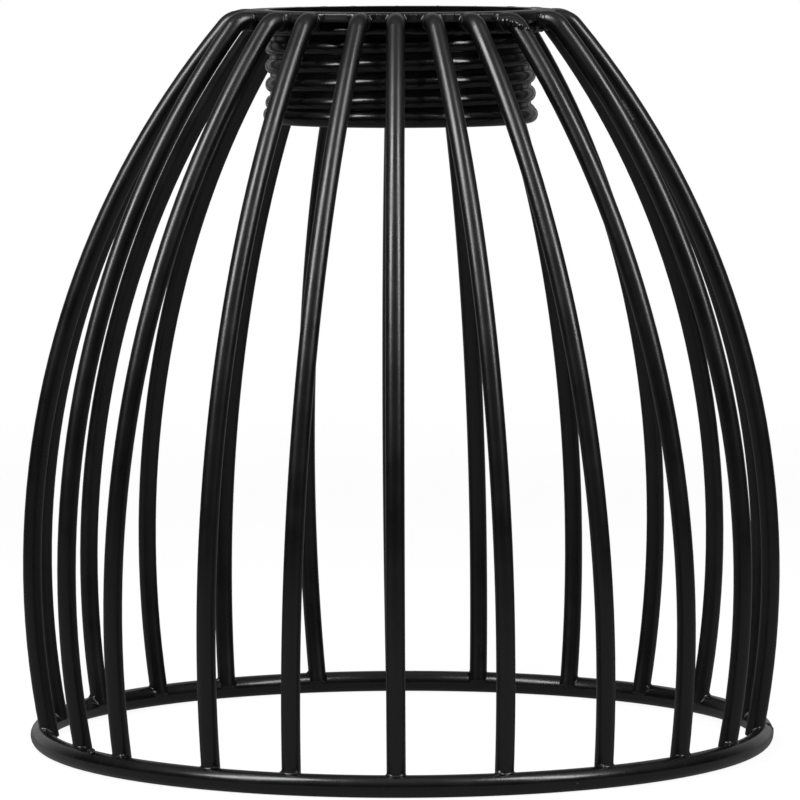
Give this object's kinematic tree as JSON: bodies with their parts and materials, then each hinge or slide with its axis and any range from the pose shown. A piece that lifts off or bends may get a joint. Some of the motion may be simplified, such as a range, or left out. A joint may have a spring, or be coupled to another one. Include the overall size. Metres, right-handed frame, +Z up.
{
  "type": "bulb cage guard",
  "caption": "bulb-shaped welded wire cage guard with a foot ring, curved round-rod ribs, a flat top washer and a threaded sleeve that screws onto a lamp holder's skirt",
  "frame": {"origin": "on the floor under the middle of the foot ring", "axes": "+Z up along the cage's axis, -Y to the viewer of the picture, +X to the right"},
  "size_m": [0.1148, 0.116, 0.1123],
  "materials": {
    "black_powder_coat": "semi-gloss black powder coat with a faint orange-peel texture"
  },
  "bodies": {
    "root": {"bottom_ring": "black_powder_coat", "top_plate": "black_powder_coat", "thread_sleeve": "black_powder_coat", "rib_01": "black_powder_coat", "rib_02": "black_powder_coat", "rib_03": "black_powder_coat", "rib_04": "black_powder_coat", "rib_05": "black_powder_coat", "rib_06": "black_powder_coat", "rib_07": "black_powder_coat", "rib_08": "black_powder_coat", "rib_09": "black_powder_coat", "rib_10": "black_powder_coat", "rib_11": "black_powder_coat", "rib_12": "black_powder_coat", "rib_13": "black_powder_coat", "rib_14": "black_powder_coat", "rib_15": "black_powder_coat", "rib_16": "black_powder_coat", "rib_17": "black_powder_coat", "rib_18": "black_powder_coat", "rib_19": "black_powder_coat", "rib_20": "black_powder_coat", "rib_21": "black_powder_coat", "rib_22": "black_powder_coat"}
  },
  "joints": []
}
